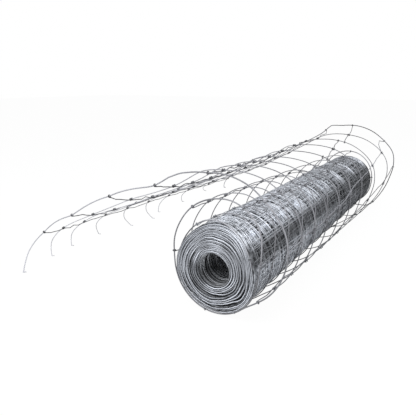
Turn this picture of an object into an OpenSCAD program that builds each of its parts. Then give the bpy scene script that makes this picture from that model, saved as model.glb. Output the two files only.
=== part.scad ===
// Roll of woven-wire cattle fence, lying on its side with its outer end sprung loose.
//
// The fence has ten line wires along it, the two at the edges heavier, and a stay across it at every
// pitch. Each stay is made of short wires that are wrapped round the line wires at both ends, which is
// a hinge joint. The knots of the loose sheet have slid a little along their line wires.
//
// The wound part is one turned solid with its bore. The sheet that has sprung off it is real wire.
// It leaves the roll on the right flank, goes over the top as a loose inner turn, round the left side
// and under the roll, then rises on the right as a wide outer loop and falls away to the left as a
// tail, with its cut ends on the floor. Angles are in degrees, lengths in millimetres.
//
// Origin: centre of the bore, half way along. +Y is along the roll, +Z is up.

/* [Fence] */
// Unit that the line wire spacings are laid out in
spacing_unit = 25.4; // [18:0.1:32]
// Distance between stays, along the line wires
stay_pitch = 152.4; // [110:0.1:220]
// Thickness of a line wire
line_d = 2.5; // [1.8:0.1:4]
// Thickness of the two heavier line wires at the edges
edge_d = 3.4; // [1.8:0.1:5]
// Thickness of a stay wire
stay_d = 2.5; // [1.8:0.1:4]

/* [Wound roll] */
// Radius of the wound part
roll_r = 106; // [80:1:150]
// Radius of the bore
bore_r = 40; // [25:1:55]
// Turns that show on each end
turns = 20; // [8:1:26]
// How far turns stray past the outer line wires at each end
stray = 3; // [0:0.5:8]

/* [Loose sheet] */
// Height of the outer loop above the turn that lies on the roll
loop_rise = 116; // [70:1:160]
// Height of the inner loose turn, at its near edge
inner_rise = 73; // [40:1:95]
// Length of the tail, from the roll's side to the first stay
tail_reach = 499; // [380:1:640]
// How much the two edge wires flare up above the rest of the sheet
edge_flare = 20; // [0:1:35]
// Free length of a line wire's cut end, at the near edge
near_lead = 155; // [120:1:200]
// Free length of a line wire's cut end, at the far edge
far_lead = 60; // [40:1:100]

/* [Fits] */
// Clearance between a wrap and its line wire
wrap_gap = 0.35; // [0.2:0.05:0.8]
// Gap between the two wraps at a knot, and between a knot and the roll
seat_gap = 0.3; // [0.2:0.05:0.6]

/* [Hidden] */
// Line wire spacings from the near edge to the far edge, in spacing units
SPACINGS = [3, 3.5, 4, 4.5, 5, 5.5, 6, 7, 8];
LINES = len(SPACINGS) + 1;

line_r = line_d / 2;
edge_r = edge_d / 2;
stay_r = stay_d / 2;
knot_reach = max(line_r, edge_r) + wrap_gap + stay_d; // from a line wire's centre to the outside of a knot
hug_r = roll_r + seat_gap + knot_reach; // a line wire's centre where the sheet lies on the roll
floor_z = -(hug_r + knot_reach);
wrap_side = (stay_d + seat_gap) / 2; // a wrap's centre from the knot's centre, along the line wire
knot_half = wrap_side + stay_r + 0.5; // half of the straight length through a knot
stay_side = 0.5; // offset of a stay's straight length from the middle of its wrap

fence_h = spacing_unit * sum_to(LINES - 1);
roll_l = fence_h + edge_d + 2 * stray;
turn_pitch = (roll_r - bore_r) / turns;
turn_r = 0.42 * turn_pitch; // rounding of a turn where it shows on an end

WIRE_SIDES = 6;
RINGS_BETWEEN = 4; // rings of a line wire between two knots
ARC_STEP = 3; // degrees between points of the loops
SPLINE_STEPS = 10; // points for each span of the tail

// The loops, from the landing on the right flank, anticlockwise as seen from the near end.
// Each row is an angle with the gap under the sheet there, as a share of its rise, at the near edge
// and at the far edge. The sheet lies on the roll where the share is 0.
INNER_TURN = [
    [-25, 0, 0],
    [0, 0.03, 0.01],
    [25, 0.30, 0.08],
    [50, 0.80, 0.19],
    [72, 0.96, 0.26],
    [90, 0.86, 0.26],
    [109, 0.68, 0.22],
    [132, 0.41, 0.12],
    [152, 0.22, 0.04],
    [172, 0.05, 0],
    [200, 0, 0],
    [230, 0, 0],
    [255, 0, 0]
];
OUTER_LOOP = [
    [275, 0, 0.01],
    [297, 0, 0.15],
    [318, 0.01, 0.36],
    [334, 0.12, 0.40],
    [351, 0.33, 0.47],
    [370, 0.57, 0.62],
    [385, 0.74, 0.83],
    [399, 0.85, 1.00],
    [422, 0.89, 1.03],
    [441, 0.84, 1.00],
    [454, 0.82, 0.98],
    [472, 0.86, 1.00]
];
FLARE_FROM = 405; // angle at which the edges begin to flare
FLARE_FULL = 454; // angle past which the flare is whole
// How far each line wire's outer loop has shifted, sideways and up
LOOP_SHIFT = [[2, 6], [4, 12], [4, 13], [2, 7], [1, 3], [0, 3], [0, 4], [8, 4], [18, 2], [7, 0]];
SHIFT_FROM = 330; // angle at which the shift begins
SHIFT_FULL = 390; // angle past which the shift is whole

// The tail. Each row is a distance out as a share of tail_reach, the height above the floor as a share
// of the crown's, at the near edge, the middle and the far edge, and the share of the flare that is left.
TAIL = [
    [0.12, 0.82, 0.78, 0.80, 0.9],
    [0.435, 0.64, 0.55, 0.53, 1.6],
    [0.75, 0.43, 0.41, 0.40, 1.2],
    [1.0, 0.265, 0.235, 0.15, 0.5]
];
// Where each cut end rests on the floor, as [further out than the first stay, along the roll]
TIPS = [
    [0, -88], [32, -36], [49, -28], [56, 5], [20, 29],
    [8, 21], [46, -31], [55, 10], [79, 70], [29, -15]
];
TIP_HOOK = 9; // length of the small hook on a cut end
// How far the knots of each stay have slid along the line wires, at the near edge and at the far edge
KNOT_SLIDES = [
    [-6, -14], [-5, 15], [14, 18], [24, -20], [33, -35], [35, -62], [10, -60],
    [5, -88], [10, -60], [35, -40], [20, -20], [10, -10], [0, 0]
];

WIRE_GREY = [0.62, 0.65, 0.68];
STAY_GREY = [0.54, 0.57, 0.61];
ROLL_GREY = [0.47, 0.50, 0.54];

// ---------------------------------------------------------------- numbers and lists

// Sum of the first n spacings
function sum_to(n) = n <= 0 ? 0 : SPACINGS[n - 1] + sum_to(n - 1);

// Place of line wire k along the roll
function line_y(k) = spacing_unit * sum_to(k) - fence_h / 2;

// How far across the fence line wire k lies, 0 at the near edge and 1 at the far edge
function across(k) = sum_to(k) / sum_to(LINES - 1);

function mix(a, b, t) = a + (b - a) * t;

// The parabola through a at 0, b at a half and c at 1
function mix_middle(a, b, c, t) = a * (1 - t) * (1 - 2 * t) + 4 * b * t * (1 - t) + c * t * (2 * t - 1);

function unit(v) = v / norm(v);

function two_digits(n) = n < 10 ? str("0", n) : str(n);

// Slope of a table of [x, y] rows at row i
function slope(rows, i) =
    let (a = rows[max(i - 1, 0)], b = rows[min(i + 1, len(rows) - 1)])
    (b[1] - a[1]) / (b[0] - a[0]);

function row_below(rows, x, i = 0) =
    i >= len(rows) - 2 || x < rows[i + 1][0] ? i : row_below(rows, x, i + 1);

// A smooth curve through a table of [x, y] rows
function smooth(rows, x) =
    let (
        i = row_below(rows, x),
        a = rows[i],
        b = rows[i + 1],
        h = b[0] - a[0],
        t = (x - a[0]) / h
    )
    (2 * t ^ 3 - 3 * t ^ 2 + 1) * a[1] + (t ^ 3 - 2 * t ^ 2 + t) * h * slope(rows, i)
    + (3 * t ^ 2 - 2 * t ^ 3) * b[1] + (t ^ 3 - t ^ 2) * h * slope(rows, i + 1);

// A point between p1 and p2 on the curve that also passes p0 and p3
function spline_point(p0, p1, p2, p3, t) =
    0.5 * (2 * p1 + (p2 - p0) * t + (2 * p0 - 5 * p1 + 4 * p2 - p3) * t ^ 2
    + (3 * p1 - p0 - 3 * p2 + p3) * t ^ 3);

// The curve through points 1 to n-2 of a list; the first and last point only steer it
function spline(p) = concat(
    [for (i = [1:len(p) - 3], j = [0:SPLINE_STEPS - 1])
        spline_point(p[i - 1], p[i], p[i + 1], p[i + 2], j / SPLINE_STEPS)],
    [p[len(p) - 2]]
);

// Distance along a line of points, for each of its points
function run_lengths(p) = [
    for (i = 0, s = 0; i < len(p); i = i + 1, s = s + (i < len(p) ? norm(p[i] - p[i - 1]) : 0)) s
];

// ---------------------------------------------------------------- sizes at each line wire

function is_edge(k) = k == 0 || k == LINES - 1;
function wire_r(k) = is_edge(k) ? edge_r : line_r;

// Radius of the centre line of a wrap on wire k
function wrap_r(k) = wire_r(k) + wrap_gap + stay_r;

// Where a stay's straight length ends, from the centre of wire k
function stay_seat(k) = wire_r(k) + wrap_gap;

// ---------------------------------------------------------------- shape of the loose sheet

// How strongly the sheet flares at u: 1 at either edge, and little between them
function flare(u) = exp(-18 * u) + exp(-18 * (1 - u));

function ease(t) = let (c = max(0, min(1, t))) c * c * (3 - 2 * c);

// The gap under the sheet at each angle, for a wire at u
function gap_rows(u) = concat(
    [for (r = INNER_TURN) [r[0], inner_rise * mix(r[1], r[2], u)]],
    [for (r = OUTER_LOOP) [r[0], loop_rise * mix(r[1], r[2], u)]]
);

// Distance of the sheet from the roll's axis. Under the loop it runs along the floor and no lower.
function sheet_r(rows, u, angle) =
    let (
        lift = edge_flare * flare(u) * ease((angle - FLARE_FROM) / (FLARE_FULL - FLARE_FROM)),
        r = hug_r + max(0, smooth(rows, angle)) + lift
    )
    angle > 270 && angle < 360 ? min(r, -hug_r / sin(angle)) : r;

// The loops of wire k, from the crown back to its landing on the roll, as [x, z]
function loop_points(k) =
    let (u = across(k), rows = gap_rows(u), last = rows[len(rows) - 1][0])
    [for (a = [last:-ARC_STEP:rows[0][0]])
        sheet_r(rows, u, a) * [cos(a), sin(a)]
        + LOOP_SHIFT[k] * ease((a - SHIFT_FROM) / (SHIFT_FULL - SHIFT_FROM))];

// The tail's points at the stays, from the crown out to the first stay, as [x, z]
function tail_points(u) =
    let (crown = hug_r + loop_rise - floor_z)
    [for (r = TAIL) [
        -(roll_r + tail_reach * r[0]),
        floor_z + crown * mix_middle(r[1], r[2], r[3], u) + r[4] * edge_flare * flare(u)
    ]];

function lift_to(p, y) = [p[0], y, p[1]];

// The cut end of wire k, from its hook on the floor up to the first stay
function lead_route(k, stay) =
    let (
        lead = mix(near_lead, far_lead, across(k)),
        drop = stay[2] - floor_z - wire_r(k),
        out = TIPS[k][0],
        sway = TIPS[k][1],
        tip = stay + [-out, sway, -drop]
    )
    [tip + [TIP_HOOK, 2, 0], tip, stay + [-0.2 * lead - 0.5 * out, 0.35 * sway, -0.42 * drop]];

// No wire dips into the floor
function above_floor(p, r) = [p[0], p[1], max(p[2], floor_z + r)];

// Wire k's centre line: [points of the cut end, points of the rest], meeting at the first stay
function wire_route(k) =
    let (
        y = line_y(k),
        u = across(k),
        tail = tail_points(u),
        loops = loop_points(k),
        stay = lift_to(tail[len(tail) - 1], y),
        lead = lead_route(k, stay),
        knots = concat(
            lead,
            [for (i = [len(tail) - 1:-1:0]) lift_to(tail[i], y)],
            [lift_to(loops[0], y), lift_to(loops[5], y)]
        ),
        curve = [for (p = spline(concat([2 * knots[0] - knots[1]], knots))) above_floor(p, wire_r(k))],
        loose_end = len(lead) * SPLINE_STEPS
    )
    [
        [for (i = [0:loose_end]) curve[i]],
        concat([for (i = [loose_end:len(curve) - 1]) curve[i]],
            [for (i = [1:len(loops) - 1]) lift_to(loops[i], y)])
    ];

// Tables that give a point of a wire from its distance past the first stay
function wire_tables(k) =
    let (
        route = wire_route(k),
        p = concat(route[0], [for (i = [1:len(route[1]) - 1]) route[1][i]]),
        s = run_lengths(p),
        s0 = s[len(route[0]) - 1]
    )
    [for (axis = [0:2]) [for (i = [0:len(p) - 1]) [s[i] - s0, p[i][axis]]]];

WIRES = [for (k = [0:LINES - 1]) wire_tables(k)];

function wire_start(k) = WIRES[k][0][0][0];
function wire_end(k) = WIRES[k][0][len(WIRES[k][0]) - 1][0];
function wire_at(k, s) = [for (axis = [0:2]) lookup(s, WIRES[k][axis])];

// Stays that have room on the loose sheet
stay_count = floor((min([for (k = [0:LINES - 1]) wire_end(k)]) - 4 * knot_half) / stay_pitch) + 1;

// ---------------------------------------------------------------- line wires

// Place of the knot of stay j along wire k
function knot_place(k, j) =
    j * stay_pitch + (j < len(KNOT_SLIDES) ? mix(KNOT_SLIDES[j][0], KNOT_SLIDES[j][1], across(k)) : 0);

// Places along wire k that get a ring: both sides of each knot, and evenly between knots
function ring_places(k) =
    let (
        start = wire_start(k),
        end = wire_end(k),
        first = knot_place(k, 0),
        last = knot_place(k, stay_count - 1),
        spare = ceil((end - last) / stay_pitch * RINGS_BETWEEN)
    )
    concat(
        [for (i = [0:2 * RINGS_BETWEEN]) mix(start, first - knot_half, i / (2 * RINGS_BETWEEN))],
        [for (j = [0:stay_count - 2], i = [0:RINGS_BETWEEN + 1])
            mix(knot_place(k, j) + knot_half, knot_place(k, j + 1) - knot_half, i / (RINGS_BETWEEN + 1))],
        [for (i = [0:spare]) mix(last + knot_half, end, i / spare)]
    );

// A round wire along a line of points that never runs along Y
module swept_wire(points, r) {
    n = len(points);
    m = WIRE_SIDES;
    rings = [for (i = [0:n - 1])
        let (
            along = unit(points[min(i + 1, n - 1)] - points[max(i - 1, 0)]),
            side = unit([0, 1, 0] - along * along[1]),
            out = cross(along, side)
        )
        for (j = [0:m - 1])
            points[i] + r * (side * cos(360 * j / m) + out * sin(360 * j / m))
    ];
    walls = [for (i = [0:n - 2], j = [0:m - 1])
        let (a = i * m + j, b = i * m + (j + 1) % m)
        each [[a, b, b + m], [a, b + m, a + m]]
    ];
    ends = [[for (j = [m - 1:-1:0]) j], [for (j = [0:m - 1]) (n - 1) * m + j]];
    polyhedron(rings, concat(walls, ends));
}

module line_wire(k) {
    color(WIRE_GREY)
        swept_wire([for (s = ring_places(k)) wire_at(k, s)], wire_r(k));
}

// ---------------------------------------------------------------- stays and their knots

// Centre of the knot of stay j on wire k, and the wire's direction through it
function knot_ends(k, j) =
    let (s = knot_place(k, j)) [wire_at(k, s - knot_half), wire_at(k, s + knot_half)];
function knot_at(k, j) = let (e = knot_ends(k, j)) (e[0] + e[1]) / 2;
function knot_along(k, j) = let (e = knot_ends(k, j)) unit(e[1] - e[0]);

// Turns its child's Z axis to lie along a direction
module aim(direction) {
    d = unit(direction);
    rotate([0, acos(d[2]), atan2(d[1], d[0])]) children();
}

module rod(a, b, r) {
    translate(a) aim(b - a) cylinder(h = norm(b - a), r = r, $fn = 24);
}

// One turn of stay wire round a line wire
module wrap(centre, along, r) {
    translate(centre) aim(along) rotate_extrude($fn = 24) translate([r, 0]) circle(r = stay_r, $fn = 24);
}

// The stay wire between line wires k and k+1, with a wrap on each
module stay_piece(k, j) {
    a = knot_at(k, j);
    b = knot_at(k + 1, j);
    a_along = knot_along(k, j);
    b_along = knot_along(k + 1, j);
    rod(a + a_along * (wrap_side + stay_side) + [0, stay_seat(k), 0],
        b - b_along * (wrap_side + stay_side) - [0, stay_seat(k + 1), 0], stay_r);
    wrap(a + a_along * wrap_side, a_along, wrap_r(k));
    wrap(b - b_along * wrap_side, b_along, wrap_r(k + 1));
}

module stay(j) {
    color(STAY_GREY)
        for (k = [0:LINES - 2]) stay_piece(k, j);
}

// ---------------------------------------------------------------- wound roll

// Half section of the roll, with a bead for each turn on both ends and for each line wire outside
module roll_section() {
    body_l = roll_l - 2 * turn_r;
    translate([bore_r, -body_l / 2]) square([roll_r - line_r - bore_r, body_l]);
    for (i = [0:turns - 1], end = [-1, 1])
        translate([bore_r + (i + 0.5) * turn_pitch, end * body_l / 2]) circle(r = turn_r, $fn = 24);
    for (k = [1:LINES - 2])
        translate([roll_r - line_r, line_y(k)]) circle(r = line_r, $fn = 24);
}

module wound_roll() {
    color(ROLL_GREY)
        rotate([-90, 0, 0]) rotate_extrude($fn = 96) roll_section();
}

// ---------------------------------------------------------------- nodes

wound_roll();
for (k = [0:LINES - 1])
    line_wire(k);
for (j = [0:stay_count - 1])
    stay(j);
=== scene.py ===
import math
import random

import bpy
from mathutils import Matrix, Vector


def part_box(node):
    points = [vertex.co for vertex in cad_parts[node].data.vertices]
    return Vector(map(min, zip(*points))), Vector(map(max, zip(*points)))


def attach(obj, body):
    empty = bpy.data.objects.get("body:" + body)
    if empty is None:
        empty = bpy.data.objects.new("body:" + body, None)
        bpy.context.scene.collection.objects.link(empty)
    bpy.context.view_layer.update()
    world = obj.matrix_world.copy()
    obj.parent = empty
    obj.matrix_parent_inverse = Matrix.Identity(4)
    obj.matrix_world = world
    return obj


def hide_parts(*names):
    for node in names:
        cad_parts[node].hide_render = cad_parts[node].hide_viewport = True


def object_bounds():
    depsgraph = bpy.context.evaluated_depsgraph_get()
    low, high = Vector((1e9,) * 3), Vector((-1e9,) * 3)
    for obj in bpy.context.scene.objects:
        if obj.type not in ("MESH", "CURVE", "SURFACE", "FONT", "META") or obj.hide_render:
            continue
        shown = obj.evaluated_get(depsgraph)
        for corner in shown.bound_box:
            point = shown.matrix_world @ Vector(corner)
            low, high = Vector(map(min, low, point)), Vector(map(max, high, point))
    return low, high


# Roll of woven-wire cattle fence. Every wire is swept along its own route: the ten line wires of the
# sheet that has sprung loose, the stays wrapped round them, and the turns of the wound part.
# Lengths are in metres and angles in degrees. The roll's axis is Y, and the near end is at -Y.

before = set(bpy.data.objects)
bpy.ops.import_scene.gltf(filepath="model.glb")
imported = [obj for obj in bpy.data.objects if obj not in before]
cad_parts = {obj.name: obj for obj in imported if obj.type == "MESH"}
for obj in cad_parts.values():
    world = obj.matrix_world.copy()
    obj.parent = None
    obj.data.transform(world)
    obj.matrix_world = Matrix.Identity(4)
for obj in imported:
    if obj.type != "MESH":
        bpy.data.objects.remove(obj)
CAD_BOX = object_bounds()

# ---------------------------------------------------------------- sizes of the fence

ROLL_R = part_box("wound_roll")[1].x
FLOOR_Z = CAD_BOX[0].z

SPACINGS = [3, 3.5, 4, 4.5, 5, 5.5, 6, 7, 8]  # between line wires, in inches
INCH = 0.0254
LINES = len(SPACINGS) + 1
FENCE_H = INCH * sum(SPACINGS)
STAY_PITCH = 0.1524
STAYS = sum(1 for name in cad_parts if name.startswith("stay_"))

LINE_D = 0.0025
EDGE_D = 0.0034
STAY_D = 0.0025
WRAP_GAP = 0.00035
SEAT_GAP = 0.0003
BORE_R = 0.040

KNOT_REACH = EDGE_D / 2 + WRAP_GAP + STAY_D
HUG_R = ROLL_R + SEAT_GAP + KNOT_REACH

# ---------------------------------------------------------------- shape of the loose sheet

LOOP_RISE = 0.116  # how far the outer loop rises off the roll
INNER_RISE = 0.073  # how far the inner turn rises off it
TAIL_REACH = 0.499  # from the roll's side to the first stay
EDGE_FLARE = 0.020  # how far the sheet's two edges flare up
FLARE_FADE = 18  # how quickly that dies away, in from the edges
NEAR_LEAD = 0.155  # length of the cut ends past the first stay, at the near edge
FAR_LEAD = 0.060  # the same at the far edge

# Each row is an angle, with the gap under the sheet as a share of its rise at the near and far edges
INNER_TURN = [
    (-25, 0, 0), (0, 0.03, 0.01), (25, 0.30, 0.08), (50, 0.80, 0.19), (72, 0.96, 0.26),
    (90, 0.86, 0.26), (109, 0.68, 0.22), (132, 0.41, 0.12), (152, 0.22, 0.04), (172, 0.05, 0),
    (200, 0, 0), (230, 0, 0), (255, 0, 0),
]
OUTER_LOOP = [
    (275, 0, 0.01), (297, 0, 0.15), (318, 0.01, 0.36), (334, 0.12, 0.40), (351, 0.33, 0.47),
    (370, 0.57, 0.62), (385, 0.74, 0.83), (399, 0.85, 1.00), (422, 0.89, 1.03), (441, 0.84, 1.00),
    (454, 0.82, 0.98), (472, 0.86, 1.00),
]
FLARE_FROM, FLARE_FULL = 405, 454  # angles between which the edges flare up
# How far each line wire's outer loop has shifted, sideways and up, in millimetres
LOOP_SHIFT = [(2, 6), (4, 12), (4, 13), (2, 7), (1, 3), (0, 3), (0, 4), (8, 4), (18, 2), (7, 0)]
SHIFT_FROM, SHIFT_FULL = 330, 390  # angles between which that comes in

# Each row is a share of the tail's reach, the height as a share of the crown's at the near edge, the
# middle and the far edge, and the share of the flare that is left
TAIL = [
    (0.12, 0.82, 0.78, 0.80, 0.9),
    (0.435, 0.64, 0.55, 0.53, 1.6),
    (0.75, 0.43, 0.41, 0.40, 1.2),
    (1.0, 0.265, 0.235, 0.15, 0.5),
]
# Where each cut end rests on the floor, in millimetres: how far out past the first stay, and how far
# along the roll
TIPS = [
    (0, -88), (32, -36), (49, -28), (56, 5), (20, 29),
    (8, 21), (46, -31), (55, 10), (79, 70), (29, -15),
]
TIP_HOOK = 0.009  # length of the hook on a cut end
# Where the sheet lands on the wound part and sinks in among its turns
LANDING, SUNK_END = -25, -348  # angles where it lands and where it ends
SINK_OVER = 110  # how far round it takes to sink
SUNK_DEPTH = 0.0035  # how far under the roll's surface the wires then run
# A loose bulge in the sunk wires: how far it stands out at the near wire, the share less for each next
# wire, the angle where it is, and how far it reaches round on each side
BULGE, BULGE_LESS, BULGE_AT, BULGE_SPREAD = 0.013, 0.22, -240, 62
NEAR_SLIP = 0.036  # the most that the outer turns have slipped in from the near end
SLIP_TOP = 100  # the angle where they have
# How far the knots of each stay have slid along the line wires, in millimetres, at the near edge and at
# the far edge. The last rows are of the stays on the outermost wound turn.
KNOT_SLIDES = [
    (-6, -14), (-5, 15), (14, 18), (24, -20), (33, -35), (35, -62), (10, -60),
    (5, -88), (10, -60), (35, -40), (20, -20), (10, -10), (0, 0),
    (0, -10), (0, 0), (24, 10), (60, 55),
]
WOUND_ROWS = 4  # how many such stays there are, past the loose sheet
TAIL_STAYS = 5  # the stays on the tail, which are bent the most
# Bends in a line wire: (wire, place in stay pitches, half width in pitches, how far up in millimetres)
BENDS = [(0, 3.45, 0.4, 6), (9, 3.92, 0.30, 10)]
# How far each wire bulges up between two knots of the tail, in millimetres
SCALLOPS = [7, 4, 4, 3, 3]
# Stays that are kinked: (first line wire, stay) with (share along it, offset in millimetres) rows
STAY_KINKS = {
    (8, 6): [(0.08, (-3, 0, 3)), (0.5, (-16, -6, 10)), (0.80, (-16, -6, 12)), (0.95, (-4, -2, 2))],
    (8, 4): [(0.1, (0, 0, 0)), (0.32, (-1, 0, 2)), (0.62, (10, 6, -2)), (0.9, (3, 2, 0))],
}
# Knots that have slipped apart: (line wire, stay) with the distance
KNOTS_APART = {(7, 5): 0.019, (5, 5): 0.011}

ARC_STEP = 3  # degrees between the points of an arc
SPLINE_STEPS = 10  # points for each span of a spline
TANGENT_REACH = 0.004  # how far each way a wire is looked at for its direction


def mix(a, b, t):
    """The value a share t of the way from a to b."""
    return a + (b - a) * t


def mix_middle(a, b, c, t):
    """The parabola through a at 0, b at a half and c at 1."""
    return a * (1 - t) * (1 - 2 * t) + 4 * b * t * (1 - t) + c * t * (2 * t - 1)


def ease(t):
    """A smooth step: 0 up to 0, then rising to 1 at 1."""
    t = min(1, max(0, t))
    return t * t * (3 - 2 * t)


def line_y(k):
    """Place of line wire k along the roll."""
    return INCH * sum(SPACINGS[:k]) - FENCE_H / 2


def across(k):
    """How far across the fence line wire k lies, from 0 to 1."""
    return sum(SPACINGS[:k]) / sum(SPACINGS)


def line_d(k):
    return EDGE_D if k in (0, LINES - 1) else LINE_D


def wrap_r(k):
    """Radius of the centre line of a wrap on line wire k."""
    return line_d(k) / 2 + WRAP_GAP + STAY_D / 2


def knot_place(k, j):
    """Place of the knot of stay j along line wire k, past the first stay."""
    slide = mix(*KNOT_SLIDES[j], across(k)) if j < len(KNOT_SLIDES) else 0
    return j * STAY_PITCH + slide / 1000


def flare(u):
    """How strongly the sheet flares up at a share u across it: fully at both edges."""
    return math.exp(-FLARE_FADE * u) + math.exp(-FLARE_FADE * (1 - u))


def slope(rows, i):
    """The slope of a table's curve at row i."""
    a, b = rows[max(i - 1, 0)], rows[min(i + 1, len(rows) - 1)]
    return (b[1] - a[1]) / (b[0] - a[0])


def smooth(rows, x):
    """A smooth curve through a table of (x, y) rows."""
    i = max(j for j in range(len(rows) - 1) if j == 0 or rows[j][0] <= x)
    a, b = rows[i], rows[i + 1]
    h = b[0] - a[0]
    t = (x - a[0]) / h
    return ((2 * t**3 - 3 * t**2 + 1) * a[1] + (t**3 - 2 * t**2 + t) * h * slope(rows, i)
            + (3 * t**2 - 2 * t**3) * b[1] + (t**3 - t**2) * h * slope(rows, i + 1))


def spline(points):
    """The curve through all points but the first and last, which only steer it."""
    curve = []
    for p0, p1, p2, p3 in zip(points, points[1:], points[2:], points[3:]):
        for j in range(SPLINE_STEPS):
            t = j / SPLINE_STEPS
            curve.append(0.5 * (2 * p1 + (p2 - p0) * t + (2 * p0 - 5 * p1 + 4 * p2 - p3) * t**2
                                + (3 * p1 - p0 - 3 * p2 + p3) * t**3))
    return curve + [points[-2]]


def sheet_r(rows, u, angle):
    """Distance of the sheet from the roll's axis. Under the loop it runs along the floor."""
    lift = EDGE_FLARE * flare(u) * ease((angle - FLARE_FROM) / (FLARE_FULL - FLARE_FROM))
    r = HUG_R + max(0, smooth(rows, angle)) + lift
    if 270 < angle < 360:
        return min(r, -HUG_R / math.sin(math.radians(angle)))
    return r


def around(r, angle, y):
    """The place at a radius and an angle round the roll's axis."""
    return Vector((r * math.cos(math.radians(angle)), y, r * math.sin(math.radians(angle))))


def loop_points(k):
    """Line wire k from the crown back to its landing on the roll."""
    u = across(k)
    rows = [(a, INNER_RISE * mix(near, far, u)) for a, near, far in INNER_TURN]
    rows += [(a, LOOP_RISE * mix(near, far, u)) for a, near, far in OUTER_LOOP]
    shift = Vector((LOOP_SHIFT[k][0], 0, LOOP_SHIFT[k][1])) / 1000
    return [
        around(sheet_r(rows, u, a), a, line_y(k)) + shift * ease((a - SHIFT_FROM) / (SHIFT_FULL - SHIFT_FROM))
        for a in range(rows[-1][0], rows[0][0] - 1, -ARC_STEP)
    ]


def tail_points(k):
    """Line wire k at the tail's stays, from the crown out to the first stay."""
    u = across(k)
    crown = HUG_R + LOOP_RISE - FLOOR_Z
    return [
        Vector((-(ROLL_R + TAIL_REACH * out), line_y(k),
                FLOOR_Z + crown * mix_middle(near, middle, far, u) + left * EDGE_FLARE * flare(u)))
        for out, near, middle, far, left in TAIL
    ]


def lead_points(k, stay):
    """The cut end of line wire k, from its hook on the floor up to the first stay."""
    lead = mix(NEAR_LEAD, FAR_LEAD, across(k))
    drop = stay.z - FLOOR_Z - line_d(k) / 2
    out, sway = TIPS[k][0] / 1000, TIPS[k][1] / 1000
    tip = stay + Vector((-out, sway, -drop))
    return [tip + Vector((TIP_HOOK, 0.002, 0)), tip,
            stay + Vector((-0.22 * lead - 0.55 * out, 0.4 * sway, -0.55 * drop))]


def set_back(angle):
    """How far the outer turns have slipped in from the near end at an angle. It's most at the top."""
    return NEAR_SLIP * max(0, math.cos(math.radians(angle - SLIP_TOP))) ** 2


def landing_points(k):
    """Line wire k past its landing, where it sinks in among the wound turns but for one loose bulge."""
    bulge = BULGE * max(0, 1 - BULGE_LESS * k)
    points = []
    for a in range(LANDING - ARC_STEP, SUNK_END, -ARC_STEP):
        sunk = ease((LANDING - a) / SINK_OVER)
        r = mix(HUG_R, ROLL_R - SUNK_DEPTH, sunk) + bulge * ease(1 - abs(a - BULGE_AT) / BULGE_SPREAD)
        points.append(around(r, a, line_y(k) + set_back(a) * sunk * (1 - across(k))))
    return points


class Wire:
    """The route of one line wire, which gives a point for each distance past the first stay."""

    def __init__(self, k):
        tail, loops = tail_points(k), loop_points(k)
        lead = lead_points(k, tail[-1])
        knots = lead + tail[::-1] + [loops[0], loops[5]]  # the last one only steers the curve
        curve = spline([2 * knots[0] - knots[1]] + knots)
        self.points = curve + loops[1:] + landing_points(k)
        self.measure(len(lead) * SPLINE_STEPS)
        rng = random.Random(40 + k)
        rises = [rise / 1000 * (1 if k == 0 else rng.uniform(-0.6, 1)) for rise in SCALLOPS]
        for point, s in zip(self.points, self.places):
            for j, rise in enumerate(rises):
                share = (s - knot_place(k, j)) / (knot_place(k, j + 1) - knot_place(k, j))
                if 0 < share < 1:
                    point.z += rise * math.sin(math.pi * share)
            for wire, place, width, up in BENDS:
                if wire == k:
                    point.z += up / 1000 * max(0, 1 - abs(s / STAY_PITCH - place) / width)
            point.z = max(point.z, FLOOR_Z + line_d(k) / 2)
        self.measure(len(lead) * SPLINE_STEPS)

    def measure(self, start):
        """Works out each point's distance along the wire from the first stay."""
        self.places = [0]
        for a, b in zip(self.points, self.points[1:]):
            self.places.append(self.places[-1] + (b - a).length)
        self.places = [s - self.places[start] for s in self.places]

    def at(self, s):
        i = 0
        while i < len(self.places) - 2 and self.places[i + 1] < s:
            i += 1
        t = (s - self.places[i]) / (self.places[i + 1] - self.places[i])
        return self.points[i].lerp(self.points[i + 1], t)

    def along(self, s):
        return (self.at(s + TANGENT_REACH) - self.at(s - TANGENT_REACH)).normalized()


# ---------------------------------------------------------------- making wire

PLAIN_TONE = 0.5


def deselect_all():
    bpy.ops.object.select_all(action="DESELECT")


def paint_tones(piece, tones, sides):
    """Stores a light or dark tone for each point of each route, as an attribute of the mesh."""
    flat = [tone for route in tones for tone in route for _ in range(sides)]
    caps = len(piece.data.vertices) - len(flat)
    layer = piece.data.attributes.new("Tone", "FLOAT", "POINT")
    layer.data.foreach_set("value", [PLAIN_TONE] * caps + flat)


def wire_piece(name, routes, tones, diameter, fine=1, closed=False):
    """A mesh of round wires, one along each route, with a tone for each point."""
    curve = bpy.data.curves.new(name, "CURVE")
    curve.dimensions = "3D"
    curve.bevel_depth = diameter / 2
    curve.bevel_resolution = fine
    curve.use_fill_caps = True
    for route in routes:
        line = curve.splines.new("POLY")
        line.points.add(len(route) - 1)
        for point, place in zip(line.points, route):
            point.co = (*place, 1)
        line.use_cyclic_u = closed
    piece = bpy.data.objects.new(name, curve)
    bpy.context.scene.collection.objects.link(piece)
    deselect_all()
    piece.select_set(True)
    bpy.context.view_layer.objects.active = piece
    bpy.ops.object.convert(target="MESH")
    bpy.ops.object.shade_smooth()
    paint_tones(piece, tones, 4 + 2 * fine)
    return piece


def finish_piece(piece, slot, material, *nodes):
    """Gives a piece its material and its body, and hides the CAD nodes that it stands for."""
    piece.data.materials.clear()
    piece.data.materials.append(material)
    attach(piece, "root")
    if nodes:
        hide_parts(*nodes)
    return piece


# ---------------------------------------------------------------- materials

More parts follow.
